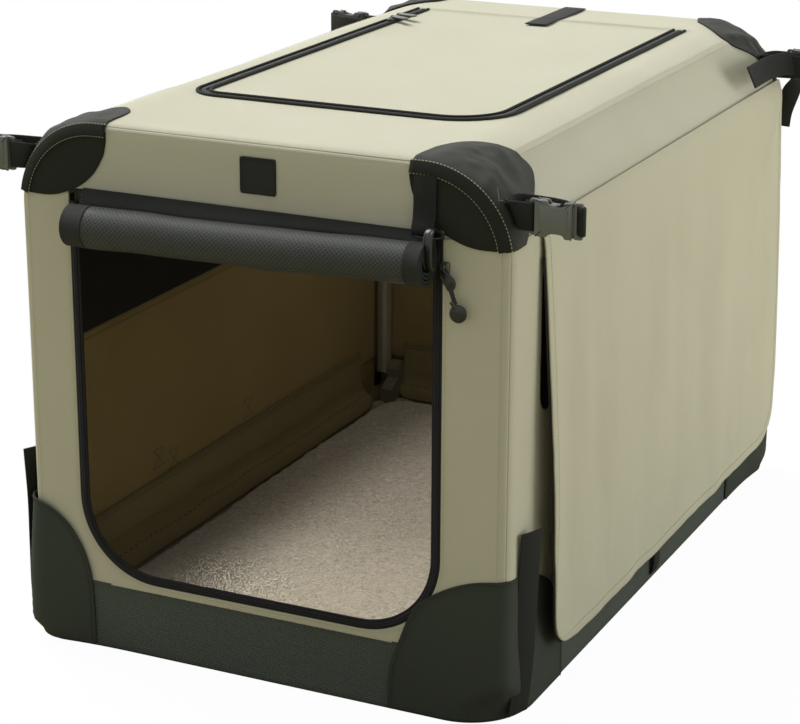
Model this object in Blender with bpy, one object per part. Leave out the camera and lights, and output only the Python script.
"""Soft dog crate: a folding tube frame inside a sewn fabric cover.

Metres, +Z up, +Y from the doorway towards the back. The origin is on the floor
under the middle of the crate. The roof comes straight down when the four jointed
corner legs fold.
"""

import math

import bmesh
import bpy
from mathutils import Vector

# Outer cover
WIDTH = 0.500
LENGTH = 0.770
HEIGHT = 0.525
FABRIC = 0.002
GAP = 0.0003
SHOULDER_RADIUS = 0.084
EDGE_RADIUS = 0.010
FLOOR_CORNER_RADIUS = 0.062
FLOOR_CORNER_HEIGHT = 0.044
FLOOR_EDGE = 0.004
BAND_HEIGHT = 0.070
HOOD_DEPTH = 0.066

# Doorway, its zip and its rolled up mesh door
DOOR_LEFT = -0.196
DOOR_RIGHT = 0.185
DOOR_BOTTOM = 0.0765
DOOR_DROP = 0.063
DOOR_CORNER_RADIUS = 0.082
ZIP_WIDTH = 0.009
ZIP_PROUD = 0.0006
STRIP_HEIGHT = 0.012
ROLL_RADIUS = 0.022
ROLL_LAYER = 0.0024
ROLL_SPACE = 0.0010
ROLL_TURNS = 3.5
ROLL_TURN_STEPS = 18
ROLL_SWING_DROP = 0.060
ROLL_SWING_FORWARD = 0.0055
ROLL_AXIS_DROP = 0.033
ROLL_AXIS_FORWARD = 0.0195
ROLL_END_INSET = 0.0035
ROLL_NOTCH = 0.003

# Hook strap that holds the roll, and the small tab at its other end
HOOK_STRAP_WIDTH = 0.017
HOOK_STRAP_X = 0.1705
HOOK_STRAP_DROP = 0.004
HOOK_ROD_RADIUS = 0.0013
HOOK_EYE_RADIUS = 0.0025
TAB_LEFT = -0.167
TAB_WIDTH = 0.012
TAB_HEIGHT = 0.009
BEAD_RADIUS = 0.0022

# Zip sliders and the pull cord with its disc
SLIDER_WIDTH = 0.009
SLIDER_LENGTH = 0.015
SLIDER_HEIGHT = 0.0046
DOOR_SLIDER_OUT = 0.003
DOOR_SLIDER_DROP = 0.094
PULL_CORD_RADIUS = 0.0015
PULL_DISC_RADIUS = 0.008
PULL_DISC_THICKNESS = 0.003
PULL_DROP = 0.026
PULL_SHIFT = 0.013
PULL_AXIS_DROP = 0.0024
ROOF_SLIDER_Y = 0.217
ROOF_TAB_LENGTH = 0.016
ROOF_TAB_WIDTH = 0.006
ROOF_TAB_THICKNESS = 0.001

# Roof opening
ROOF_LEFT = -0.155
ROOF_RIGHT = 0.165
ROOF_FRONT = -0.235
ROOF_HINGE_Y = 0.294
ROOF_LEFT_RADIUS = 0.030
ROOF_RIGHT_RADIUS = 0.060
STRAP_WIDTH = 0.025
STRAP_THICKNESS = 0.0015
ROOF_STRAP_X = 0.005
ROOF_STRAP_FRONT = 0.255
ROOF_STRAP_BACK = 0.378
ROOF_STRAP_TAB_SETBACK = 0.008
ROOF_STRAP_SETBACK = 0.0015

# Corner patches
PATCH = 0.0015
CAP_TOP_REACH = 0.085
CAP_SIDE_REACH = 0.060
CAP_INNER_REACH = 0.093
CAP_DROP = 0.073
CAP_CORNER_RADIUS = 0.036
CAP_SIDE_RISE = 0.045
CAP_TIP_DROP = 0.012
LOWER_PATCH_HEIGHT = 0.150
LOWER_PATCH_START = 0.004
LOWER_PATCH_FRONT_REACH = 0.117
LOWER_PATCH_SIDE_REACH = 0.102

# Tube frame
TUBE_RADIUS = 0.0095
TUBE_WALL = 0.0012
TUBE_FRONT_CLEARANCE = 0.0015
LEG_GAP = 0.001
RING_CORNER_RADIUS = 0.060
RAIL_RADIUS = 0.008
RAIL_OUT = 0.009
BASE_PIVOT_HEIGHT = 0.057
TOP_PIVOT_DROP = 0.089
LEG_END_RADIUS = 0.0105
LEG_EXTENSION = 0.020
PIN_RADIUS = 0.003
PIN_SHORT = 0.0007
PIN_HEAD_RADIUS = 0.006
PIN_HEAD = 0.002
BRACKET_THICKNESS = 0.015
SADDLE_REACH = 0.0125
SADDLE_HEIGHT = 0.026

# Side windows and flaps
WINDOW_SILL = 0.286
WINDOW_DROP = 0.093
WINDOW_FRONT_SETBACK = 0.067
WINDOW_BACK_SETBACK = 0.055
WINDOW_RADIUS = 0.020
MESH = 0.001
FLAP_THICKNESS = 0.0016
FLAP_DROP = 0.060
FLAP_BOTTOM = 0.040
FLAP_FRONT_SETBACK = 0.065
FLAP_BACK_SETBACK = 0.002
FLAP_CORNER_RADIUS = 0.055
FLAP_AXIS_INSET = 0.0005
FLAP_LIFT_AHEAD = 0.035
FLAP_BULGE = 0.013
FLAP_FOLD = 0.0026
FLAP_FOLDS = 4.5

# Fleece mat
MAT_SIDE_CLEARANCE = 0.0067
MAT_FRONT_CLEARANCE = 0.0275
MAT_BACK_CLEARANCE = 0.0175
MAT_RADIUS = 0.045
MAT_THICKNESS = 0.019
MAT_CROWN = 0.003

# Corner strap loops with side release buckles
LOOP_DROP = 0.040
LOOP_END_SETBACK = 0.0105
BUCKLE_START = 0.0105
BUCKLE_HEIGHT = 0.032
BUCKLE_THICKNESS = 0.010
SOCKET_LENGTH = 0.034
SOCKET_POCKET = 0.022
FRAME_BAR = 0.0026
FRAME_SLOT = 0.0030
FRAME_ARM = 0.0028
FRAME_THICKNESS = 0.0024
TONGUE_THICKNESS = 0.0046
TONGUE_SIDE_CLEARANCE = 0.0005
LOOP_DEPTH = 0.0235
LOWER_STRAP_TOP = 0.175
LOWER_STRAP_SETBACK = 0.038
LOWER_STRAP_LOW = 0.030

ARC_STEPS = 6
TUBE_SIDES = 12
CORNERS = {
    "front_right": (1, -1),
    "front_left": (-1, -1),
    "back_right": (1, 1),
    "back_left": (-1, 1),
}

# Worked out from the sizes above
HALF_WIDTH = WIDTH / 2
HALF_LENGTH = LENGTH / 2
SPLIT = HEIGHT - HOOD_DEPTH
DOOR_TOP = HEIGHT - DOOR_DROP
TUBE_X = HALF_WIDTH - FABRIC - GAP - TUBE_RADIUS
TUBE_Y = HALF_LENGTH - FABRIC - TUBE_FRONT_CLEARANCE - TUBE_RADIUS
INNER_LEG_X = TUBE_X - 2 * TUBE_RADIUS - LEG_GAP
RING_HEIGHT = FABRIC + GAP + TUBE_RADIUS
TOP_PIVOT_HEIGHT = HEIGHT - TOP_PIVOT_DROP
KNEE_HEIGHT = (BASE_PIVOT_HEIGHT + TOP_PIVOT_HEIGHT) / 2
HOLE_RADIUS = PIN_RADIUS + GAP
RAIL_X = HALF_WIDTH - SHOULDER_RADIUS + RAIL_OUT
MAT_HALF_WIDTH = TUBE_X - TUBE_RADIUS - MAT_SIDE_CLEARANCE
MAT_FRONT = -TUBE_Y + TUBE_RADIUS + MAT_FRONT_CLEARANCE
MAT_BACK = TUBE_Y - TUBE_RADIUS - MAT_BACK_CLEARANCE
WINDOW_TOP = HEIGHT - WINDOW_DROP
WINDOW_FRONT = -HALF_LENGTH + WINDOW_FRONT_SETBACK
WINDOW_BACK = HALF_LENGTH - WINDOW_BACK_SETBACK
FLAP_TOP = HEIGHT - FLAP_DROP
FLAP_FRONT = -HALF_LENGTH + FLAP_FRONT_SETBACK
FLAP_BACK = HALF_LENGTH - FLAP_BACK_SETBACK
LOOP_HEIGHT = HEIGHT - LOOP_DROP
CAP_OUT = GAP + PATCH
BUCKLE_Y = HALF_LENGTH - LOOP_END_SETBACK
SWING_Y = -HALF_LENGTH - ROLL_SWING_FORWARD
SWING_Z = HEIGHT - ROLL_SWING_DROP
ROLL_Y = SWING_Y - ROLL_AXIS_FORWARD
ROLL_Z = SWING_Z - ROLL_AXIS_DROP
SLIDER_X = DOOR_RIGHT + DOOR_SLIDER_OUT
SLIDER_Z = HEIGHT - DOOR_SLIDER_DROP
PULL_Z = SLIDER_Z - SLIDER_LENGTH / 2 - PULL_AXIS_DROP
PULL_Y = -HALF_LENGTH - ZIP_PROUD - GAP - SLIDER_HEIGHT / 2
FLAP_AXIS_X = HALF_WIDTH - FLAP_AXIS_INSET


def start_empty():
    """Removes whatever the open file holds."""
    for obj in list(bpy.data.objects):
        bpy.data.objects.remove(obj, do_unlink=True)


def finish(name, colour, roughness, metallic=0.0):
    """A plain shader for one kind of material."""
    material = bpy.data.materials.new(name)
    material.use_nodes = True
    shader = material.node_tree.nodes["Principled BSDF"]
    shader.inputs["Base Color"].default_value = (*colour, 1.0)
    shader.inputs["Roughness"].default_value = roughness
    shader.inputs["Metallic"].default_value = metallic
    return material


def arc(cx, cy, radius, start, end, steps=ARC_STEPS):
    """Points along an arc, angles in degrees."""
    angles = [math.radians(start + (end - start) * i / steps) for i in range(steps + 1)]
    return [(cx + radius * math.cos(a), cy + radius * math.sin(a)) for a in angles]


def rounded_box(x0, x1, y0, y1, radius, steps=ARC_STEPS):
    """Outline of a rectangle with round corners, anticlockwise from its lower right."""
    r = radius
    return (
        arc(x1 - r, y0 + r, r, -90, 0, steps)
        + arc(x1 - r, y1 - r, r, 0, 90, steps)
        + arc(x0 + r, y1 - r, r, 90, 180, steps)
        + arc(x0 + r, y0 + r, r, 180, 270, steps)
    )


def place(axis, a, b, c):
    """A point from two outline coordinates and its distance along the axis."""
    return {"X": (c, a, b), "Y": (a, c, b), "Z": (a, b, c)}[axis]


def add_loft(bm, rings, around=False):
    """Joins rings of equal length by faces, and caps the ends unless it goes around."""
    rows = [[bm.verts.new(p) for p in ring] for ring in rings]
    count = len(rows[0])
    pairs = list(zip(rows, rows[1:]))
    if around:
        pairs.append((rows[-1], rows[0]))
    for low, high in pairs:
        for i in range(count):
            j = (i + 1) % count
            bm.faces.new((low[i], low[j], high[j], high[i]))
    if not around:
        bm.faces.new(rows[0][::-1])
        bm.faces.new(rows[-1])


def add_prism(bm, axis, outline, low, high):
    """An outline carried straight along one axis."""
    add_loft(bm, [[place(axis, a, b, c) for a, b in outline] for c in (low, high)])


def add_box(bm, low, high):
    """A box between two corners."""
    (x0, y0, z0), (x1, y1, z1) = low, high
    add_prism(bm, "Z", [(x0, y0), (x1, y0), (x1, y1), (x0, y1)], z0, z1)


def circle(cx, cy, radius, sides=TUBE_SIDES):
    """A round outline."""
    turn = 2 * math.pi / sides
    return [
        (cx + radius * math.cos(turn * (i + 0.5)), cy + radius * math.sin(turn * (i + 0.5)))
        for i in range(sides)
    ]


def path_rings(path, up, radius, sides, closed):
    """Circles square to a flat path whose plane is square to up."""
    rings = []
    count = len(path)
    for i, point in enumerate(path):
        before = path[i - 1] if closed or i else path[i]
        after = path[(i + 1) % count] if closed or i < count - 1 else path[i]
        along = (Vector(after) - Vector(before)).normalized()
        side = along.cross(up)
        ring = []
        for a, b in circle(0, 0, radius, sides):
            ring.append(Vector(point) + side * a + up * b)
        rings.append(ring)
    return rings


def add_tube(bm, path, up, radius, wall=0.0, closed=False, sides=TUBE_SIDES):
    """A bar along a path, or a tube open at both ends where it has a wall."""
    outer = path_rings(path, up, radius, sides, closed)
    if not wall:
        add_loft(bm, outer, around=closed)
        return
    inner = path_rings(path, up, radius - wall, sides, closed)
    add_loft(bm, outer + inner[::-1], around=True)


def add_turned(bm, axis, cx, cy, profile, sides=TUBE_SIDES):
    """A round solid from (distance along the axis, radius) pairs."""
    rings = []
    for c, radius in profile:
        rings.append([place(axis, a, b, c) for a, b in circle(cx, cy, radius, sides)])
    add_loft(bm, rings)


def mirrored(bm, x=1, y=1):
    """Flips everything in a mesh across X or Y."""
    for vert in bm.verts:
        vert.co.x *= x
        vert.co.y *= y


def at_corner(build, side, end):
    """Builds a right front corner's piece and mirrors it to another corner."""
    bm = bmesh.new()
    build(bm)
    mirrored(bm, side, -end)
    return bm


def make(name, bm, material, joint=None, smooth=None):
    """Turns a mesh into a named object, hung on its joint's empty where it has one."""
    bmesh.ops.recalc_face_normals(bm, faces=bm.faces)
    mesh = bpy.data.meshes.new(name)
    bm.to_mesh(mesh)
    bm.free()
    if smooth:
        mesh.shade_smooth()
        mesh.set_sharp_from_angle(angle=math.radians(smooth))
    obj = bpy.data.objects.new(name, mesh)
    bpy.context.scene.collection.objects.link(obj)
    if material:
        mesh.materials.append(material)
    if joint:
        obj.parent = joint
        obj.location = -Vector(joint["at"])
    return obj


def tool(name, bm):
    """A guide solid for cutting, left out of the model."""
    obj = make(name, bm, None)
    obj.hide_render = True
    obj.display_type = "WIRE"
    return obj


def cut(obj, other, operation="DIFFERENCE"):
    """Cuts one solid by another, or keeps what they share, or joins them."""
    modifier = obj.modifiers.new(operation.lower(), "BOOLEAN")
    modifier.operation = operation
    modifier.object = other
    return obj


def axis_empty(name, at, parent=None):
    """An empty on a joint's axis. Pieces and further joints hang from it."""
    empty = bpy.data.objects.new(name, None)
    bpy.context.scene.collection.objects.link(empty)
    empty.empty_display_size = 0.03
    empty.location = at
    if parent:
        empty.parent = parent
        empty.location = Vector(at) - Vector(parent["at"])
    empty["at"] = at
    return empty


def prism_tool(name, axis, outline, low, high):
    """A cutting solid from an outline."""
    bm = bmesh.new()
    add_prism(bm, axis, outline, low, high)
    return tool(name, bm)


def bar_tool(name, axis, spots, radius, low, high, sides=TUBE_SIDES):
    """Round cutting bars along an axis, one at each spot."""
    bm = bmesh.new()
    for a, b in spots:
        add_turned(bm, axis, a, b, [(low, radius), (high, radius)], sides)
    return tool(name, bm)


def hood_section(out, inset, low):
    """The crate's front outline above a height, grown by out and drawn in by inset."""
    x = HALF_WIDTH + out - inset
    top = HEIGHT + out - inset
    r = SHOULDER_RADIUS + out - inset
    return (
        [(-x, low), (x, low)]
        + arc(x - r, top - r, r, 0, 90)
        + arc(-x + r, top - r, r, 90, 180)
    )


def add_hood(bm, out, low):
    """The solid under the cover's upper surface, its front and back edges rounded."""
    edge = EDGE_RADIUS + out
    y = HALF_LENGTH + out
    turns = [(edge * (1 - math.sin(a)), edge * (1 - math.cos(a))) for a in quarter(3)]
    stations = [(-y + in_y, inset) for inset, in_y in turns]
    stations += [(y - in_y, inset) for inset, in_y in reversed(turns)]
    add_loft(
        bm,
        [[(x, at, z) for x, z in hood_section(out, inset, low)] for at, inset in stations],
    )


def quarter(steps):
    """Angles over a quarter turn."""
    return [math.pi / 2 * i / steps for i in range(steps + 1)]


def shoulder_x(height, out):
    """How far out the cover's side is at a height."""
    over = height - (HEIGHT - SHOULDER_RADIUS)
    r = SHOULDER_RADIUS + out
    if over <= 0:
        return HALF_WIDTH + out
    return HALF_WIDTH - SHOULDER_RADIUS + math.sqrt(r * r - over * over)


def plan(out, radius):
    """The crate's outline from above."""
    x = HALF_WIDTH + out
    y = HALF_LENGTH + out
    return rounded_box(-x, x, -y, y, max(radius + out, 0.001))


def band_levels(out):
    """(height, outline) pairs of the lower cover, whose corners round off to the floor."""
    levels = [(0.0, plan(out - FLOOR_EDGE, FLOOR_CORNER_RADIUS))]
    steps = 5
    for i in range(steps + 1):
        share = i / steps
        height = FLOOR_EDGE + (FLOOR_CORNER_HEIGHT - FLOOR_EDGE) * share
        drop = (FLOOR_CORNER_RADIUS - EDGE_RADIUS) * (1 - share**1.6)
        levels.append((height, plan(out, EDGE_RADIUS + drop)))
    return levels


def add_band_solid(bm, out, low, high):
    """The solid inside the lower cover's outer surface, grown by out."""
    levels = [(z, ring) for z, ring in band_levels(out) if z > low]
    levels.insert(0, (low, band_levels(out)[0][1] if low <= 0 else plan(out, FLOOR_CORNER_RADIUS)))
    levels.append((high, plan(out, EDGE_RADIUS)))
    add_loft(bm, [[(x, y, z) for x, y in ring] for z, ring in levels])


def base_ring(steel):
    """The round tube that lies on the floor, one closed loop."""
    bm = bmesh.new()
    add_tube(bm, ring_path(), Vector((0, 0, 1)), TUBE_RADIUS, closed=True)
    make("base_ring", bm, steel, smooth=40)


def ring_path():
    """Centre line of the base ring."""
    outline = rounded_box(-TUBE_X, TUBE_X, -TUBE_Y, TUBE_Y, RING_CORNER_RADIUS)
    return [(x, y, RING_HEIGHT) for x, y in outline]


def pin_profile(head):
    """A pivot pin from inside the outer tube, with its head's face at a distance out."""
    return [
        (TUBE_X + TUBE_RADIUS - PIN_SHORT, PIN_RADIUS),
        (head, PIN_RADIUS),
        (head, PIN_HEAD_RADIUS),
        (head - PIN_HEAD, PIN_HEAD_RADIUS - PIN_HEAD / 2),
    ]


def add_pin(obj, name, side, end, height, head):
    """Joins a pivot pin to the piece that carries it."""
    def build(bm):
        add_turned(bm, "X", -TUBE_Y, height, pin_profile(head))

    cut(obj, tool(name, at_corner(build, side, end)), "UNION")


def hinge_bracket(word, side, end, plastic, ring):
    """A plastic block astride the ring's bend. Its ear carries a leg on a pin."""
    outer = TUBE_X - TUBE_RADIUS - GAP
    bend_y = TUBE_Y - RING_CORNER_RADIUS * (1 - math.sqrt(0.5))
    top = BASE_PIVOT_HEIGHT
    ear = LEG_END_RADIUS - GAP

    def build(bm):
        near = -bend_y + SADDLE_REACH
        far = -bend_y - SADDLE_REACH + GAP
        outline = [
            (near, RING_HEIGHT), (near, RING_HEIGHT + SADDLE_HEIGHT),
            (-TUBE_Y + ear, top - ear), (-TUBE_Y + ear, top),
        ]
        outline += arc(-TUBE_Y, top, ear, 0, 180)[1:]
        outline += [(-TUBE_Y - ear, top - 2 * ear), (far, RING_HEIGHT + ear), (far, RING_HEIGHT)]
        add_prism(bm, "X", outline, outer - BRACKET_THICKNESS, outer)

    obj = make("bracket_" + word, at_corner(build, side, end), plastic)
    cut(obj, ring)

    def pin(bm):
        profile = [(TUBE_X + TUBE_RADIUS - PIN_SHORT, PIN_RADIUS), (outer - PIN_HEAD, PIN_RADIUS)]
        add_turned(bm, "X", -TUBE_Y, BASE_PIVOT_HEIGHT, profile)

    cut(obj, tool("bracket_pin_" + word, at_corner(pin, side, end)), "UNION")


def leg(name, side, end, x, low, high, steel, joint):
    """A straight tube with round ends and a hole for a pin at each end."""
    y = end * TUBE_Y
    bm = bmesh.new()
    path = [(side * x, y, low - 2 * TUBE_RADIUS), (side * x, y, high + 2 * TUBE_RADIUS)]
    add_tube(bm, path, Vector((0, 1, 0)), TUBE_RADIUS, TUBE_WALL)
    obj = make(name, bm, steel, joint, smooth=40)
    r = LEG_END_RADIUS
    ends = arc(y, high, r, 0, 180) + arc(y, low, r, 180, 360)
    reach = sorted((side * INNER_LEG_X / 2, side * HALF_WIDTH))
    cut(obj, prism_tool(name + "_ends", "X", ends, *reach), "INTERSECT")
    return obj


def foot_tool(name, side, end):
    """Rounds a foot's outer edge, so that it turns clear of the band's corner."""
    corner = EDGE_RADIUS - FABRIC
    centre_x = HALF_WIDTH - EDGE_RADIUS
    ahead = HALF_LENGTH - EDGE_RADIUS - TUBE_Y - 2 * GAP
    turns = [math.radians(angle) for angle in range(0, 76, 15)]
    section = [(centre_x + corner * math.sin(t), ahead + corner * math.cos(t)) for t in turns]
    section += [
        (HALF_WIDTH, section[-1][1]), (HALF_WIDTH, 2 * LEG_END_RADIUS),
        (centre_x, 2 * LEG_END_RADIUS),
    ]

    def build(bm):
        rings = []
        for i in range(TUBE_SIDES + 1):
            turn = math.pi * (1 + i / TUBE_SIDES)
            y = math.cos(turn)
            z = math.sin(turn)
            rings.append(
                [(x, -TUBE_Y + reach * y, BASE_PIVOT_HEIGHT + reach * z) for x, reach in section],
            )
        add_loft(bm, rings)

    return tool(name, at_corner(build, side, end))


def leg_set(end, base_joint, knee_joint, steel):
    """The four jointed tubes at one end. Each lower one carries the knee's pin."""
    word = "front" if end < 0 else "back"
    y = end * TUBE_Y
    lower_hole = bar_tool(
        word + "_foot_holes", "X", [(y, BASE_PIVOT_HEIGHT)], HOLE_RADIUS, -HALF_WIDTH, HALF_WIDTH,
    )
    upper_holes = bar_tool(
        word + "_upper_holes", "X", [(y, KNEE_HEIGHT), (y, TOP_PIVOT_HEIGHT)],
        HOLE_RADIUS, -HALF_WIDTH, HALF_WIDTH,
    )
    for side, hand in ((1, "right"), (-1, "left")):
        where = word + "_" + hand
        lower = leg(
            "lower_leg_" + where, side, end, TUBE_X,
            BASE_PIVOT_HEIGHT, KNEE_HEIGHT + LEG_EXTENSION, steel, base_joint,
        )
        cut(lower, lower_hole)
        cut(lower, foot_tool("foot_edge_" + where, side, end))
        head = INNER_LEG_X - TUBE_RADIUS - GAP
        add_pin(lower, "knee_pin_" + where, side, end, KNEE_HEIGHT, head)
        upper = leg(
            "upper_leg_" + where, side, end, INNER_LEG_X,
            KNEE_HEIGHT, TOP_PIVOT_HEIGHT, steel, knee_joint,
        )
        cut(upper, upper_holes)


def arch(end, steel, joint):
    """One bent tube of the roof frame. Each foot carries an upper leg on a pin."""
    bend = SHOULDER_RADIUS - (HALF_WIDTH - TUBE_X)
    top = HEIGHT - (HALF_WIDTH - TUBE_X)
    y = end * TUBE_Y
    low = TOP_PIVOT_HEIGHT - LEG_END_RADIUS
    outline = [(TUBE_X, low)] + arc(TUBE_X - bend, top - bend, bend, 0, 90)
    outline += [(-x, z) for x, z in reversed(outline)]
    bm = bmesh.new()
    path = [(x, y, z) for x, z in outline]
    add_tube(bm, path, Vector((0, 1, 0)), TUBE_RADIUS, TUBE_WALL)
    word = "front" if end < 0 else "back"
    obj = make(word + "_arch", bm, steel, joint, smooth=40)
    head = INNER_LEG_X - TUBE_RADIUS - GAP
    for side, hand in ((1, "right"), (-1, "left")):
        add_pin(obj, "top_pin_" + word + "_" + hand, side, end, TOP_PIVOT_HEIGHT, head)


def rails(steel, joint):
    """The two tubes that run along the roof between the arches."""
    z = HEIGHT - (HALF_WIDTH - TUBE_X)
    y = TUBE_Y - TUBE_RADIUS - GAP
    for name, side in (("right_rail", 1), ("left_rail", -1)):
        bm = bmesh.new()
        path = [(side * RAIL_X, -y, z), (side * RAIL_X, y, z)]
        add_tube(bm, path, Vector((0, 0, 1)), RAIL_RADIUS, TUBE_WALL)
        make(name, bm, steel, joint, smooth=40)


def floor_and_band(floor_cloth, band_cloth):
    """The sewn floor and the dark band around the foot of the crate."""
    inside = -FABRIC - GAP - FLOOR_EDGE
    bm = bmesh.new()
    add_prism(bm, "Z", plan(inside, FLOOR_CORNER_RADIUS), 0.0, FABRIC)
    make("floor_panel", bm, floor_cloth)
    bm = bmesh.new()
    outer = band_levels(0.0) + [(BAND_HEIGHT, plan(0.0, EDGE_RADIUS))]
    inner = band_levels(-FABRIC) + [(BAND_HEIGHT, plan(-FABRIC, EDGE_RADIUS))]
    rings = [[(x, y, z) for x, y in ring] for z, ring in outer]
    rings += [[(x, y, z) for x, y in ring] for z, ring in reversed(inner)]
    add_loft(bm, rings, around=True)
    make("base_band", bm, band_cloth)


def mat(fleece):
    """The fleece mat, thicker in the middle and drawn in at its edge."""
    bm = bmesh.new()
    rings = []
    bottom = FABRIC + GAP
    shape = [
        (0.0, 0.004), (0.2, 0.001), (0.5, 0.0), (0.78, 0.001), (0.93, 0.005), (1.0, 0.014),
    ]
    for share, inset in shape:
        outline = rounded_box(
            -MAT_HALF_WIDTH + inset, MAT_HALF_WIDTH - inset,
            MAT_FRONT + inset, MAT_BACK - inset, MAT_RADIUS - inset,
        )
        rings.append([(x, y, bottom + MAT_THICKNESS * share) for x, y in outline])
    middle = (MAT_FRONT + MAT_BACK) / 2
    for share, rise in ((0.7, 0.6), (0.35, 0.95)):
        ring = []
        for x, y, z in rings[-1 if share == 0.7 else -2]:
            ring.append((x * share, middle + (y - middle) * share, z))
        rings.append([(x, y, bottom + MAT_THICKNESS + MAT_CROWN * rise) for x, y, z in ring])
    add_loft(bm, rings)
    make("fleece_mat", bm, fleece, smooth=60)


def doorway(inset, top):
    """The doorway's outline, drawn in by inset, open upwards to a height."""
    left = DOOR_LEFT + inset
    right = DOOR_RIGHT - inset
    low = DOOR_BOTTOM + inset
    r = DOOR_CORNER_RADIUS - inset
    return (
        [(left, top)]
        + arc(left + r, low + r, r, 180, 270)
        + arc(right - r, low + r, r, 270, 360)
        + [(right, top)]
    )


def cover_part(name, low, high, inside, cloth, joint=None):
    """One piece of the cover's shell, between two corners of a box."""
    bm = bmesh.new()
    add_hood(bm, 0.0, BAND_HEIGHT + GAP)
    obj = make(name, bm, cloth, joint)
    cut(obj, inside)
    bm = bmesh.new()
    add_box(bm, low, high)
    cut(obj, tool(name + "_region", bm), "INTERSECT")
    return obj


def walls(cloth, mesh_cloth, inside):
    """The four walls: the front one round the doorway, the side ones with mesh windows."""
    low = BAND_HEIGHT - GAP
    high = SPLIT - GAP
    far_x = 1.1 * HALF_WIDTH
    far_y = 1.1 * HALF_LENGTH
    reach = HALF_LENGTH - EDGE_RADIUS
    for name, y0, y1 in (("front_wall", -far_y, -reach), ("back_wall", reach, far_y)):
        obj = cover_part(name, (-far_x, y0, low), (far_x, y1, high), inside, cloth)
        if name == "front_wall":
            cut(obj, prism_tool("doorway_cut", "Y", doorway(0, HEIGHT), -far_y, -reach))
    for word, side in (("right", 1), ("left", -1)):
        x0, x1 = sorted((side * (HALF_WIDTH - SHOULDER_RADIUS), side * far_x))
        edge = reach - GAP
        obj = cover_part(word + "_wall", (x0, -edge, low), (x1, edge, high), inside, cloth)
        window = rounded_box(
            WINDOW_FRONT, WINDOW_BACK, WINDOW_SILL, WINDOW_TOP, WINDOW_RADIUS, 3,
        )
        cut(obj, prism_tool(word + "_window_cut", "X", window, x0, x1))
        bm = bmesh.new()
        pane = rounded_box(
            WINDOW_FRONT + GAP, WINDOW_BACK - GAP, WINDOW_SILL + GAP, WINDOW_TOP - GAP,
            WINDOW_RADIUS - GAP, 3,
        )
        mid = HALF_WIDTH - FABRIC / 2
        add_prism(bm, "X", pane, *sorted((side * (mid - MESH / 2), side * (mid + MESH / 2))))
        make(word + "_window_mesh", bm, mesh_cloth)


def roof_outline(inset, back):
    """The roof opening's outline, drawn in by inset, square at the hinge end."""
    left = ROOF_LEFT + inset
    right = ROOF_RIGHT - inset
    front = ROOF_FRONT + inset
    ra = ROOF_LEFT_RADIUS - inset
    rb = ROOF_RIGHT_RADIUS - inset
    return (
        [(left, back)]
        + arc(left + ra, front + ra, ra, 180, 270)
        + arc(right - rb, front + rb, rb, 270, 360)
        + [(right, back)]
    )


def roof_cover(cloth, joint, inside):
    """Roof, shoulders and the top of each wall, sewn as one piece."""
    far_x = 1.1 * HALF_WIDTH
    far_y = 1.1 * HALF_LENGTH
    obj = cover_part(
        "roof_cover", (-far_x, -far_y, SPLIT), (far_x, far_y, HEIGHT + 0.02), inside, cloth, joint,
    )
    opening = prism_tool(
        "roof_opening_cut", "Z", roof_outline(0, ROOF_HINGE_Y), HEIGHT - 0.02, HEIGHT + 0.02,
    )
    cut(obj, opening)
    bm = bmesh.new()
    add_box(
        bm,
        (DOOR_LEFT, -HALF_LENGTH - 0.01, SPLIT - 0.01),
        (DOOR_RIGHT, -HALF_LENGTH + 0.01, DOOR_TOP),
    )
    cut(obj, tool("header_cut", bm))


def strap_span():
    """Left and right edges of the strap over the roof flap's hinge."""
    return ROOF_STRAP_X - STRAP_WIDTH / 2, ROOF_STRAP_X + STRAP_WIDTH / 2


def roof_panel(cloth, tape, joint, flap_joint):
    """The roof's zip tape, and the flap that it closes, with a strap end sewn to it."""
    back = ROOF_HINGE_Y - GAP
    outer = roof_outline(GAP, back)
    inner = roof_outline(GAP + ZIP_WIDTH, back)
    bm = bmesh.new()
    add_prism(bm, "Z", outer + inner[::-1], HEIGHT - FABRIC, HEIGHT + ZIP_PROUD)
    make("roof_zip", bm, tape, joint)
    bm = bmesh.new()
    add_prism(
        bm, "Z", roof_outline(2 * GAP + ZIP_WIDTH, back - GAP), HEIGHT - FABRIC, HEIGHT,
    )
    flap = make("roof_flap", bm, cloth, flap_joint)
    low, high = strap_span()
    back = ROOF_HINGE_Y - ROOF_STRAP_TAB_SETBACK
    bm = bmesh.new()
    add_box(
        bm, (low, ROOF_STRAP_FRONT, HEIGHT - FABRIC / 2),
        (high, back, HEIGHT + GAP + STRAP_THICKNESS),
    )
    cut(flap, tool("flap_strap_end", bm), "UNION")


def roof_strap(webbing, joint):
    """The strap behind the roof flap's hinge."""
    bm = bmesh.new()
    low, high = strap_span()
    front = ROOF_HINGE_Y + ROOF_STRAP_SETBACK
    add_box(bm, (low, front, HEIGHT + GAP), (high, ROOF_STRAP_BACK, HEIGHT + GAP + STRAP_THICKNESS))
    make("roof_strap", bm, webbing, joint)


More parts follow.
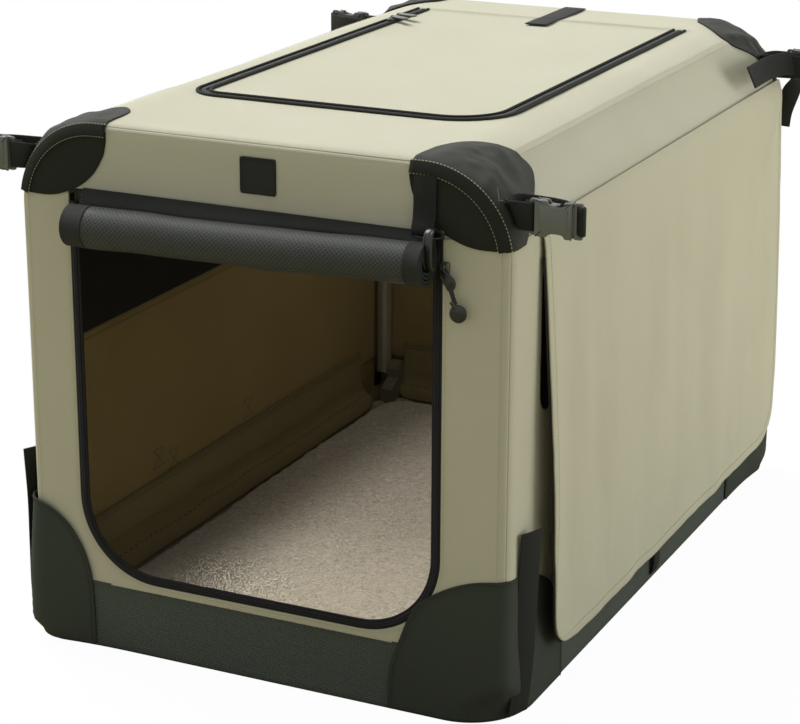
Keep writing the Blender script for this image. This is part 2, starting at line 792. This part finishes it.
def roof_sliders(metal, joints):
    """Two zip sliders nose to nose on the left run, each with a flat pull."""
    x = ROOF_LEFT + GAP + ZIP_WIDTH / 2
    z = HEIGHT + ZIP_PROUD + GAP
    for name, way in (("roof_slider_front", -1), ("roof_slider_rear", 1)):
        near = ROOF_SLIDER_Y + way * GAP * 2
        far = near + way * SLIDER_LENGTH
        y0, y1 = sorted((near, far))
        bm = bmesh.new()
        half = SLIDER_WIDTH / 2 - GAP
        outline = [
            (-half, 0), (half, 0), (half, SLIDER_HEIGHT * 0.6),
            (half * 0.5, SLIDER_HEIGHT), (-half * 0.5, SLIDER_HEIGHT), (-half, SLIDER_HEIGHT * 0.6),
        ]
        add_prism(bm, "Y", [(x + a, z + b) for a, b in outline], y0, y1)
        obj = make(name, bm, metal, joints[name])
        mid = (y0 + y1) / 2
        wide = ROOF_TAB_WIDTH / 2
        tab = rounded_box(x - half - ROOF_TAB_LENGTH, x, mid - wide, mid + wide, wide / 2, 2)
        cut(obj, prism_tool(name + "_pull", "Z", tab, z, z + ROOF_TAB_THICKNESS), "UNION")


def door_trim(tape, joint):
    """The doorway's zip tape on the walls, and the strip across the top that moves."""
    y0 = -HALF_LENGTH - ZIP_PROUD
    y1 = -HALF_LENGTH + FABRIC - GAP
    strip_low = DOOR_TOP - GAP - STRIP_HEIGHT
    outer = doorway(GAP, strip_low - GAP)
    inner = doorway(GAP + ZIP_WIDTH, strip_low - GAP)
    bm = bmesh.new()
    add_prism(bm, "Y", outer + inner[::-1], y0, y1)
    make("door_zip", bm, tape)
    bm = bmesh.new()
    add_box(
        bm,
        (DOOR_LEFT + GAP, -HALF_LENGTH, strip_low),
        (DOOR_RIGHT - GAP, y1, DOOR_TOP - GAP),
    )
    strip = make("door_strip", bm, tape, joint)
    left = TAB_LEFT
    low = DOOR_TOP - 2 * GAP - TAB_HEIGHT
    y0 = -HALF_LENGTH
    bm = bmesh.new()
    add_box(
        bm, (left, y0 - PATCH, low), (left + TAB_WIDTH, y0 + FABRIC / 2, low + TAB_HEIGHT),
    )
    cut(strip, tool("roll_tab", bm), "UNION")
    bm = bmesh.new()
    face = y0 - PATCH
    bead = [
        (face + PATCH / 2, BEAD_RADIUS),
        (face - BEAD_RADIUS / 2, BEAD_RADIUS),
        (face - BEAD_RADIUS, BEAD_RADIUS / 2),
    ]
    add_turned(bm, "Y", left + TAB_WIDTH / 2, low + TAB_HEIGHT / 2, bead)
    cut(strip, tool("roll_tab_bead", bm), "UNION")


def roll_spiral():
    """The rolled sheet's centre line, from its free edge inside to the seam tail."""
    pitch = ROLL_LAYER + ROLL_SPACE
    outside = ROLL_RADIUS - ROLL_LAYER / 2
    steps = int(ROLL_TURNS * ROLL_TURN_STEPS)
    points = []
    for i in range(steps + 1):
        left = (steps - i) / ROLL_TURN_STEPS
        turn = math.radians(42) - left * 2 * math.pi
        radius = outside - pitch * left
        points.append((ROLL_Y + radius * math.cos(turn), ROLL_Z + radius * math.sin(turn)))
    seam = -HALF_LENGTH - GAP - ROLL_LAYER / 2
    points.append((seam - 0.0030, SWING_Z - 0.0075))
    points.append((seam, SWING_Z - 0.0040))
    return points


def layer_gap(points):
    """Least clear distance between turns of the roll, over points more than half a turn apart."""
    apart = []
    for i, (a, b) in enumerate(points):
        for c, d in points[i + ROLL_TURN_STEPS // 2:]:
            apart.append(math.hypot(c - a, d - b))
    return min(apart) - ROLL_LAYER


def sheet_outline(points, thickness):
    """Outline of a thin strip along a line of points."""
    left, right = [], []
    for i, (a, b) in enumerate(points):
        p = points[max(i - 1, 0)]
        q = points[min(i + 1, len(points) - 1)]
        along = Vector((q[0] - p[0], q[1] - p[1])).normalized() * thickness / 2
        left.append((a - along.y, b + along.x))
        right.append((a + along.y, b - along.x))
    return left + right[::-1]


def door_roll(mesh_cloth, joint):
    """The mesh door, rolled up under the top of the doorway as one open spiral."""
    bm = bmesh.new()
    points = roll_spiral()
    print("least gap between the roll's layers, mm:", round(1000 * layer_gap(points), 2))
    add_prism(
        bm, "X", sheet_outline(points, ROLL_LAYER),
        DOOR_LEFT + ROLL_END_INSET, DOOR_RIGHT - ROLL_END_INSET,
    )
    obj = make("door_roll", bm, mesh_cloth, joint, smooth=40)
    bm = bmesh.new()
    for x0, x1 in (
        (DOOR_LEFT, TAB_LEFT + TAB_WIDTH + ROLL_NOTCH),
        (HOOK_STRAP_X - HOOK_STRAP_WIDTH / 2 - ROLL_NOTCH, DOOR_RIGHT),
    ):
        add_box(bm, (x0, ROLL_Y + ROLL_RADIUS / 2, ROLL_Z + 0.7 * ROLL_RADIUS), (x1, -HALF_LENGTH, HEIGHT))
    cut(obj, tool("roll_tail_notches", bm))


def roll_hook(plastic, joint):
    """The hook at the roll's right end, its eye on the axis that the roll swings on."""
    eye = HOOK_EYE_RADIUS
    rod = HOOK_ROD_RADIUS
    end = DOOR_RIGHT - ROLL_END_INSET
    points = [
        (HOOK_STRAP_X, SWING_Y, SWING_Z - eye),
        (HOOK_STRAP_X + 0.004, SWING_Y - 0.001, SWING_Z - eye - 0.004),
        (end + 0.0022, SWING_Y - 0.004, SWING_Z - 0.0125),
        (end + 0.0040, SWING_Y - 0.011, SWING_Z - 0.0225),
        (end + 0.0036, ROLL_Y + 0.003, ROLL_Z + 0.002),
        (end + 0.0010, ROLL_Y, ROLL_Z),
        (end - 0.0120, ROLL_Y, ROLL_Z),
    ]
    bm = bmesh.new()
    rings = []
    for i, point in enumerate(points):
        before = Vector(points[max(i - 1, 0)])
        after = Vector(points[min(i + 1, len(points) - 1)])
        along = (after - before).normalized()
        side = along.cross(Vector((0, 1, 0.3))).normalized()
        other = along.cross(side)
        rings.append([Vector(point) + side * a + other * b for a, b in circle(0, 0, rod, 8)])
    add_loft(bm, rings)
    obj = make("roll_hook", bm, plastic, joint, smooth=50)
    ring = bmesh.new()
    path = [(HOOK_STRAP_X, a, b) for a, b in circle(SWING_Y, SWING_Z, eye, 12)]
    add_tube(ring, path, Vector((1, 0, 0)), rod * 0.8, closed=True, sides=6)
    cut(obj, tool("hook_eye", ring), "UNION")


def door_slider(metal, plastic, slider_joint, pull_joint):
    """The doorway zip's slider, and its cord pull with a plain disc."""
    back = -HALF_LENGTH - ZIP_PROUD - GAP
    half = SLIDER_WIDTH / 2
    outline = [
        (-half, back), (-half, back - SLIDER_HEIGHT * 0.6), (-half * 0.5, back - SLIDER_HEIGHT),
        (half * 0.5, back - SLIDER_HEIGHT), (half, back - SLIDER_HEIGHT * 0.6), (half, back),
    ]
    bm = bmesh.new()
    add_prism(
        bm, "Z", [(SLIDER_X + a, b) for a, b in outline],
        SLIDER_Z - SLIDER_LENGTH / 2, SLIDER_Z + SLIDER_LENGTH / 2,
    )
    make("door_slider", bm, metal, slider_joint)
    disc_x = SLIDER_X + PULL_SHIFT + 0.002
    disc_z = PULL_Z - PULL_DROP
    top = PULL_Z + PULL_CORD_RADIUS
    bm = bmesh.new()
    end = (disc_x - 0.004, disc_z + PULL_DISC_RADIUS * 0.5)
    path = [(SLIDER_X, PULL_Y, top), (SLIDER_X, PULL_Y, top - 0.004), (end[0], PULL_Y, end[1])]
    add_tube(bm, path, Vector((0, 1, 0)), PULL_CORD_RADIUS, sides=8)
    obj = make("door_pull", bm, plastic, pull_joint, smooth=40)
    disc = bmesh.new()
    half = PULL_DISC_THICKNESS / 2
    r = PULL_DISC_RADIUS
    profile = [(PULL_Y - half, r - 0.001), (PULL_Y - half * 0.3, r), (PULL_Y + half, r)]
    add_turned(disc, "Y", disc_x, disc_z, profile, 20)
    cut(obj, tool("pull_disc", disc), "UNION")


def flap_seat(y, z):
    """How far out the flap's inner face starts: on the cover, or on the rear cap."""
    over_cap = y > HALF_LENGTH - CAP_SIDE_REACH - FLAP_LIFT_AHEAD
    out = CAP_OUT if over_cap or z < HEIGHT - SHOULDER_RADIUS else 0.0
    return shoulder_x(z, out) + GAP


def flap_rows():
    """The side flap's outer surface as rows from its front edge to its back."""
    columns, rows = 26, 8
    straight = HEIGHT - SHOULDER_RADIUS
    seam = [FLAP_TOP, SPLIT, HEIGHT - CAP_DROP]
    surface = []
    for i in range(columns + 1):
        share = i / columns
        y = FLAP_FRONT + (FLAP_BACK - FLAP_FRONT) * share
        near = max(min(y - FLAP_FRONT, FLAP_BACK - y, FLAP_CORNER_RADIUS), 0.0)
        r = FLAP_CORNER_RADIUS
        low = FLAP_BOTTOM + r - math.sqrt(r * r - (r - near) ** 2)
        column = []
        for z in seam + [straight + (low - straight) * k / rows for k in range(rows + 1)]:
            down = (FLAP_TOP - z) / (FLAP_TOP - FLAP_BOTTOM)
            wave = math.sin(share * FLAP_FOLDS * 2 * math.pi + 1.1 * down)
            wave += 0.5 * math.sin(share * FLAP_FOLDS * 3.3 * math.pi + 0.7)
            out = FLAP_BULGE * math.sin(down * math.pi / 2) + FLAP_FOLD * wave * down
            column.append((flap_seat(y, z) + FLAP_THICKNESS + max(out, 0), y, z))
        surface.append(column)
    return surface


def side_flap(name, side, cloth, joint):
    """A flap over a side window, hung at its top seam, with its soft upright folds."""
    bm = bmesh.new()
    surface = flap_rows()
    outer = [[bm.verts.new(p) for p in column] for column in surface]
    inner = []
    for column in surface:
        inner.append([bm.verts.new((x - FLAP_THICKNESS, y, z)) for x, y, z in column])
    last = len(surface) - 1
    bottom = len(surface[0]) - 1
    for i in range(last):
        for k in range(bottom):
            for sheet in (outer, inner):
                bm.faces.new((sheet[i][k], sheet[i + 1][k], sheet[i + 1][k + 1], sheet[i][k + 1]))
        for k in (0, bottom):
            bm.faces.new((outer[i][k], outer[i + 1][k], inner[i + 1][k], inner[i][k]))
    for k in range(bottom):
        for i in (0, last):
            bm.faces.new((outer[i][k], outer[i][k + 1], inner[i][k + 1], inner[i][k]))
    mirrored(bm, side)
    make(name, bm, cloth, joint, smooth=60)


def cap_regions(word, side, end):
    """Front and side outlines that bound an upper corner patch."""
    inner = HALF_WIDTH - CAP_INNER_REACH
    low = HEIGHT - CAP_DROP
    r = CAP_CORNER_RADIUS
    far = HALF_WIDTH + 0.02
    high = HEIGHT + 0.02
    face = arc(inner + r, low + r, r, 180, 270) + [(far, low), (far, high), (inner, high)]
    face = [(side * a, b) for a, b in face]
    depth = HALF_LENGTH + 0.02
    front = prism_tool(word + "_cap_face", "Y", face, *sorted((0.1 * end, end * depth)))
    top_y = HALF_LENGTH - CAP_TOP_REACH
    side_y = HALF_LENGTH - CAP_SIDE_REACH
    outline = [
        (depth, low - 0.01), (side_y, low - 0.01),
        (side_y, HEIGHT - SHOULDER_RADIUS + CAP_SIDE_RISE),
        (top_y, HEIGHT - CAP_TIP_DROP), (top_y, high), (depth, high),
    ]
    outline = [(end * a, b) for a, b in outline]
    across = prism_tool(word + "_cap_side", "X", outline, -HALF_WIDTH - 0.02, HALF_WIDTH + 0.02)
    return front, across


def upper_caps(cordura, joint):
    """The hard wearing patches over the upper corners, the hook strap sewn to one."""
    bm = bmesh.new()
    add_hood(bm, GAP, HEIGHT - 1.5 * SHOULDER_RADIUS)
    inside = tool("cap_inside", bm)
    for word, (side, end) in CORNERS.items():
        bm = bmesh.new()
        add_hood(bm, CAP_OUT, HEIGHT - 1.2 * SHOULDER_RADIUS)
        obj = make("cap_" + word, bm, cordura, joint)
        front, across = cap_regions(word, side, end)
        cut(obj, front, "INTERSECT")
        cut(obj, across, "INTERSECT")
        cut(obj, inside)
        if word == "front_right":
            cut(obj, hook_strap(), "UNION")


def hook_strap():
    """The strap down the header that the roll's hook hangs from."""
    x0 = HOOK_STRAP_X - HOOK_STRAP_WIDTH / 2
    y1 = -HALF_LENGTH - CAP_OUT + PATCH / 2
    y0 = -HALF_LENGTH - CAP_OUT - STRAP_THICKNESS
    z1 = HEIGHT - EDGE_RADIUS - HOOK_STRAP_DROP
    low = SWING_Z + HOOK_EYE_RADIUS + HOOK_ROD_RADIUS + GAP
    bm = bmesh.new()
    add_box(bm, (x0, y0, low), (x0 + HOOK_STRAP_WIDTH, y1, z1))
    return tool("hook_strap", bm)


def patch_outline(reach):
    """Edge of a lower corner patch: a low quarter round, seen square on."""
    shape = [(1.0, 0.0), (0.90, 0.467), (0.77, 0.727), (0.57, 0.853), (0.30, 0.953), (-0.05, 1.0)]
    return [(reach * a, LOWER_PATCH_HEIGHT * b) for a, b in shape]


def lower_patches(cordura):
    """The patches over the lower corners, each with an upright strap end sewn on."""
    bm = bmesh.new()
    add_band_solid(bm, GAP, -LOWER_PATCH_START, 2 * LOWER_PATCH_HEIGHT)
    inside = tool("lower_patch_inside", bm)
    zip_room = prism_tool(
        "door_zip_room", "Y", doorway(0, HEIGHT), -1.1 * HALF_LENGTH, -0.9 * HALF_LENGTH,
    )
    far = HALF_LENGTH * 1.1
    wide = HALF_WIDTH * 1.1
    for word, (side, end) in CORNERS.items():
        bm = bmesh.new()
        add_band_solid(bm, CAP_OUT, LOWER_PATCH_START, 1.1 * LOWER_PATCH_HEIGHT)
        obj = make("corner_" + word, bm, cordura)
        edge = patch_outline(LOWER_PATCH_FRONT_REACH)
        outline = [(side * (HALF_WIDTH - a), b) for a, b in edge]
        outline += [(side * wide, LOWER_PATCH_HEIGHT), (side * wide, edge[0][1])]
        face = prism_tool(word + "_patch_face", "Y", outline, *sorted((end * 0.5 * far, end * far)))
        edge = patch_outline(LOWER_PATCH_SIDE_REACH)
        outline = [(end * (HALF_LENGTH - a), b) for a, b in edge]
        outline += [(end * far, LOWER_PATCH_HEIGHT), (end * far, edge[0][1])]
        across = prism_tool(word + "_patch_side", "X", outline, -wide, wide)
        cut(obj, face, "INTERSECT")
        cut(obj, across, "INTERSECT")
        cut(obj, inside)
        if end < 0:
            cut(obj, zip_room)

        def strap(bm):
            y = -HALF_LENGTH + LOWER_STRAP_SETBACK
            out = HALF_WIDTH + CAP_OUT + STRAP_THICKNESS
            add_box(
                bm, (HALF_WIDTH + CAP_OUT - PATCH / 2, y, LOWER_STRAP_LOW),
                (out, y + STRAP_WIDTH, LOWER_STRAP_TOP),
            )

        cut(obj, tool(word + "_lower_strap", at_corner(strap, side, end)), "UNION")


def add_ribbon(bm, stations, low, high, thickness):
    """Webbing on edge: stations are (x at its lower edge, x at its upper edge, y)."""
    rings = []
    for i, (x_low, x_high, y) in enumerate(stations):
        p = stations[max(i - 1, 0)]
        q = stations[min(i + 1, len(stations) - 1)]
        along = Vector((q[0] + q[1] - p[0] - p[1], 2 * (q[2] - p[2]))).normalized()
        a, b = -along.y * thickness / 2, along.x * thickness / 2
        rings.append([
            (x_low + a, y + b, low), (x_low - a, y - b, low),
            (x_high - a, y - b, high), (x_high + a, y + b, high),
        ])
    add_loft(bm, rings)


def corner_loop(bm):
    """A right front corner's webbing: socket, sewn foot along the side, tongue."""
    low = LOOP_HEIGHT - STRAP_WIDTH / 2
    high = LOOP_HEIGHT + STRAP_WIDTH / 2
    middle = (shoulder_x(low, CAP_OUT) + shoulder_x(high, CAP_OUT)) / 2
    lift = shoulder_x(LOOP_HEIGHT, CAP_OUT) - middle + GAP + STRAP_THICKNESS / 2
    near = shoulder_x(low, CAP_OUT) + lift
    lean = shoulder_x(low, CAP_OUT) - shoulder_x(high, CAP_OUT)
    y = -BUCKLE_Y
    bar = HALF_WIDTH + BUCKLE_START + FRAME_BAR / 2
    turn = FRAME_BAR / 2 + 3 * GAP + STRAP_THICKNESS / 2
    stations = [(bar - 0.006, bar - 0.006, y + turn)]
    for angle in range(90, -91, -30):
        x = bar + turn * math.cos(math.radians(angle))
        stations.append((x, x, y + turn * math.sin(math.radians(angle))))
    stations += [
        (near + 0.009, near + 0.009 - 0.4 * lean, y - turn),
        (near + 0.005, near + 0.005 - 0.7 * lean, y - 0.7 * turn),
        (near + 0.0015, near + 0.0015 - 0.9 * lean, y + 0.0015),
        (near, near - lean, y + 0.006),
        (near, near - lean, y + LOOP_DEPTH - 0.004),
    ]
    bar = tongue_bar_x()
    slot = bar - FRAME_BAR / 2 - FRAME_SLOT / 2
    back = [
        (near + 0.001, near + 0.001 - 0.9 * lean, y + LOOP_DEPTH - 0.0015),
        (near + 0.006, near + 0.006 - 0.6 * lean, y + LOOP_DEPTH),
    ]
    for x, share in ((bar - 0.034, 0.86), (bar - 0.019, 0.66), (bar - 0.007, 0.44), (bar, 0.28)):
        back.append((x, x, y + LOOP_DEPTH * share))
    wrap = [(bar + turn, 0.0030)] + arc(bar, 0.0, turn, 0, -90, 3)
    wrap += [(slot + 0.0006, -turn * 0.9), (slot, -0.0012), (slot, 0.0004)]
    for x, dy in wrap:
        back.append((x, x, y + dy))
    add_ribbon(bm, stations + back, low, high, STRAP_THICKNESS)


def tongue_bar_x():
    """Middle of the outer bar of a right hand buckle's tongue."""
    socket_end = HALF_WIDTH + BUCKLE_START + FRAME_BAR + FRAME_SLOT + SOCKET_LENGTH
    return socket_end + GAP + FRAME_ARM + FRAME_SLOT + FRAME_BAR / 2


def add_frame(bm, x0, x1, hole0, hole1):
    """A flat frame with a slot for webbing, round a right front corner's buckle."""
    half = BUCKLE_HEIGHT / 2
    slot = STRAP_WIDTH / 2 + 2 * GAP
    y = -BUCKLE_Y
    z = LOOP_HEIGHT
    outer = [(x0, z - half), (x1, z - half), (x1, z + half), (x0, z + half)]
    inner = [(hole0, z - slot), (hole1, z - slot), (hole1, z + slot), (hole0, z + slot)]
    rings = []
    for outline, at in ((outer, -1), (outer, 1), (inner, 1), (inner, -1)):
        rings.append([(a, y + at * FRAME_THICKNESS / 2, b) for a, b in outline])
    add_loft(bm, rings, around=True)


def buckles(plastic, joint, tongue_joints):
    """Side release buckles: the sockets, and the tongue that slides out of each."""
    half = BUCKLE_HEIGHT / 2
    y = -BUCKLE_Y
    start = HALF_WIDTH + BUCKLE_START
    body = start + FRAME_BAR + FRAME_SLOT
    end = body + SOCKET_LENGTH
    deep = BUCKLE_THICKNESS / 2

    def socket_body(bm):
        outline = rounded_box(body, end, LOOP_HEIGHT - half, LOOP_HEIGHT + half, 0.003, 2)
        add_prism(bm, "Y", outline, y - deep, y + deep)

    def socket_frame(bm):
        add_frame(bm, start, body + 0.004, start + FRAME_BAR, body + 0.0004)

    def pocket(bm):
        add_box(
            bm,
            (end - SOCKET_POCKET, y - TONGUE_THICKNESS / 2 - GAP, LOOP_HEIGHT - half + FRAME_ARM),
            (end + 0.01, y + TONGUE_THICKNESS / 2 + GAP, LOOP_HEIGHT + half - FRAME_ARM),
        )

    def slot(bm):
        reach = STRAP_WIDTH / 2 + 2 * GAP
        add_box(
            bm,
            (start + FRAME_BAR, y - 0.02, LOOP_HEIGHT - reach),
            (body + 0.0004, y + 0.02, LOOP_HEIGHT + reach),
        )

    def tongue(bm):
        flat = LOOP_HEIGHT - half + FRAME_ARM + TONGUE_SIDE_CLEARANCE
        high = LOOP_HEIGHT + half - FRAME_ARM - TONGUE_SIDE_CLEARANCE
        add_box(
            bm,
            (end - SOCKET_POCKET + 0.001, y - TONGUE_THICKNESS / 2, flat),
            (end + GAP + 0.001, y + TONGUE_THICKNESS / 2, high),
        )

    def tongue_frame(bm):
        bar = tongue_bar_x()
        add_frame(
            bm, end + GAP, bar + FRAME_BAR / 2,
            bar - FRAME_BAR / 2 - FRAME_SLOT, bar - FRAME_BAR / 2,
        )

    for word, (side, end_sign) in CORNERS.items():
        socket = make("socket_" + word, at_corner(socket_body, side, end_sign), plastic, joint)
        for name, build_it, operation in (
            ("socket_frame_", socket_frame, "UNION"),
            ("socket_pocket_", pocket, "DIFFERENCE"),
            ("socket_slot_", slot, "DIFFERENCE"),
        ):
            cut(socket, tool(name + word, at_corner(build_it, side, end_sign)), operation)
        obj = make(
            "tongue_" + word, at_corner(tongue, side, end_sign), plastic, tongue_joints[word],
        )
        frame = tool("tongue_frame_" + word, at_corner(tongue_frame, side, end_sign))
        cut(obj, frame, "UNION")


def corner_loops(webbing, joint):
    """The strap loops at the upper corners."""
    for word, (side, end) in CORNERS.items():
        make("loop_" + word, at_corner(corner_loop, side, end), webbing, joint)


def build():
    """Makes every piece of the crate."""
    start_empty()
    roof_cloth = finish("beige_canvas", (0.62, 0.61, 0.48), 0.85)
    black = finish("black_cordura", (0.022, 0.024, 0.021), 0.8)
    band = finish("dark_band_cloth", (0.045, 0.05, 0.042), 0.85)
    netting = finish("black_netting", (0.03, 0.035, 0.038), 0.7)
    tape = finish("zip_tape", (0.02, 0.02, 0.02), 0.7)
    webbing = finish("black_webbing", (0.02, 0.022, 0.02), 0.7)
    fleece = finish("beige_fleece", (0.35, 0.29, 0.21), 0.95)
    under = finish("floor_cloth", (0.05, 0.05, 0.045), 0.9)
    steel = finish("painted_steel_tube", (0.25, 0.25, 0.26), 0.4, 0.7)
    zinc = finish("zinc_rivet", (0.5, 0.5, 0.52), 0.35, 1.0)
    plastic = finish("grey_plastic", (0.09, 0.095, 0.09), 0.45)

    front_base = axis_empty("fold_axis", (0, -TUBE_Y, BASE_PIVOT_HEIGHT))
    front_knee = axis_empty("front_knee_axis", (0, -TUBE_Y, KNEE_HEIGHT), front_base)
    top = axis_empty("top_pivot_axis", (0, -TUBE_Y, TOP_PIVOT_HEIGHT), front_knee)
    back_base = axis_empty("back_fold_axis", (0, TUBE_Y, BASE_PIVOT_HEIGHT))
    back_knee = axis_empty("back_knee_axis", (0, TUBE_Y, KNEE_HEIGHT), back_base)
    flap_hinge = axis_empty("roof_flap_axis", (0, ROOF_HINGE_Y, HEIGHT), top)
    roll_axis = axis_empty("door_roll_axis", (0, SWING_Y, SWING_Z), top)
    right_hinge = axis_empty("right_flap_axis", (FLAP_AXIS_X, 0, FLAP_TOP), top)
    left_hinge = axis_empty("left_flap_axis", (-FLAP_AXIS_X, 0, FLAP_TOP), top)
    slider_axis = axis_empty("door_slider_axis", (SLIDER_X, PULL_Y, SLIDER_Z), top)
    pull_axis = axis_empty("door_pull_axis", (SLIDER_X, PULL_Y, PULL_Z), slider_axis)
    zip_x = ROOF_LEFT + GAP + ZIP_WIDTH / 2
    roof_slides = {
        name: axis_empty(name + "_axis", (zip_x, ROOF_SLIDER_Y, HEIGHT), top)
        for name in ("roof_slider_front", "roof_slider_rear")
    }
    tongues = {}
    for word, (side, end) in CORNERS.items():
        at = (side * tongue_bar_x(), end * BUCKLE_Y, LOOP_HEIGHT)
        tongues[word] = axis_empty("tongue_axis_" + word, at, top)

    base_ring(steel)
    bm = bmesh.new()
    add_tube(bm, ring_path(), Vector((0, 0, 1)), TUBE_RADIUS + GAP, closed=True)
    ring = tool("ring_clearance", bm)
    for word, (side, end) in CORNERS.items():
        hinge_bracket(word, side, end, plastic, ring)
    leg_set(-1, front_base, front_knee, steel)
    leg_set(1, back_base, back_knee, steel)
    arch(-1, steel, top)
    arch(1, steel, top)
    rails(steel, top)
    floor_and_band(under, band)
    mat(fleece)
    bm = bmesh.new()
    add_hood(bm, -FABRIC, BAND_HEIGHT - 2 * GAP)
    inside = tool("cover_inside", bm)
    walls(roof_cloth, netting, inside)
    roof_cover(roof_cloth, top, inside)
    roof_panel(roof_cloth, tape, top, flap_hinge)
    roof_strap(webbing, top)
    roof_sliders(zinc, roof_slides)
    door_trim(tape, top)
    door_roll(netting, roll_axis)
    roll_hook(plastic, roll_axis)
    door_slider(zinc, plastic, slider_axis, pull_axis)
    side_flap("right_flap", 1, roof_cloth, right_hinge)
    side_flap("left_flap", -1, roof_cloth, left_hinge)
    upper_caps(black, top)
    lower_patches(black)
    corner_loops(webbing, top)
    buckles(plastic, top, tongues)
    bpy.context.view_layer.update()


build()
